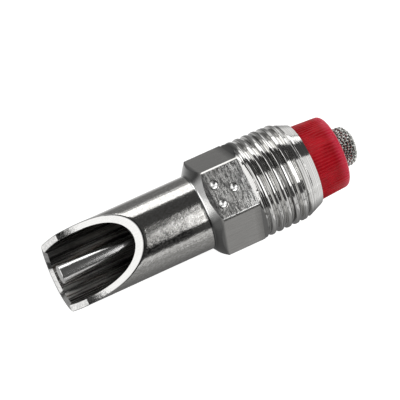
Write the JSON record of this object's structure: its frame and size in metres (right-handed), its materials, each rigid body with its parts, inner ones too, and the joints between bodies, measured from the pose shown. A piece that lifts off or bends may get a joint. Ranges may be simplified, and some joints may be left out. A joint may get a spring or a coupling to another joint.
{
  "type": "pig nipple drinker",
  "caption": "Bite-operated drinking nipple with a slanted spout, tilting valve pin, hexagon, male pipe thread and a plug-in inlet filter.",
  "frame": {"origin": "on the axis, where the male pipe thread reaches its full height behind the hexagon", "axes": "+X along the axis from the spout to the inlet, +Z the way the spout's mouth opens, +Y the third axis of a right-handed frame"},
  "size_m": [0.0677, 0.0214, 0.021],
  "materials": {
    "polished_steel": "polished",
    "pin_steel": "polished",
    "spring_steel": "drawn wire",
    "mesh_steel": "woven wire",
    "seal_rubber": "matte",
    "disc_plastic": "moulded",
    "red_plastic": "satin, finely ribbed"
  },
  "bodies": {
    "housing": {"body": "polished_steel", "seat_seal": "seal_rubber", "flow_disc": "disc_plastic", "spring": "spring_steel"},
    "valve_pin": {"bite_pin": "pin_steel"},
    "inlet_filter": {"filter_cap": "red_plastic", "strainer": "mesh_steel", "cap_seal": "seal_rubber"}
  },
  "joints": [
    {"name": "pin_tilt", "type": "hinge", "parent": "housing", "child": "valve_pin", "pos_m": [-0.0119, 0, 0.0048], "axis": [0, -1, 0], "range_deg": [0, 7], "stiffness_Nm_per_rad": 0.023, "springref_deg": -59.59, "deforming": ["spring"]},
    {"name": "filter_pull", "type": "slide", "parent": "housing", "child": "inlet_filter", "axis": [1, 0, 0], "range_m": [0, 0.0076]}
  ]
}
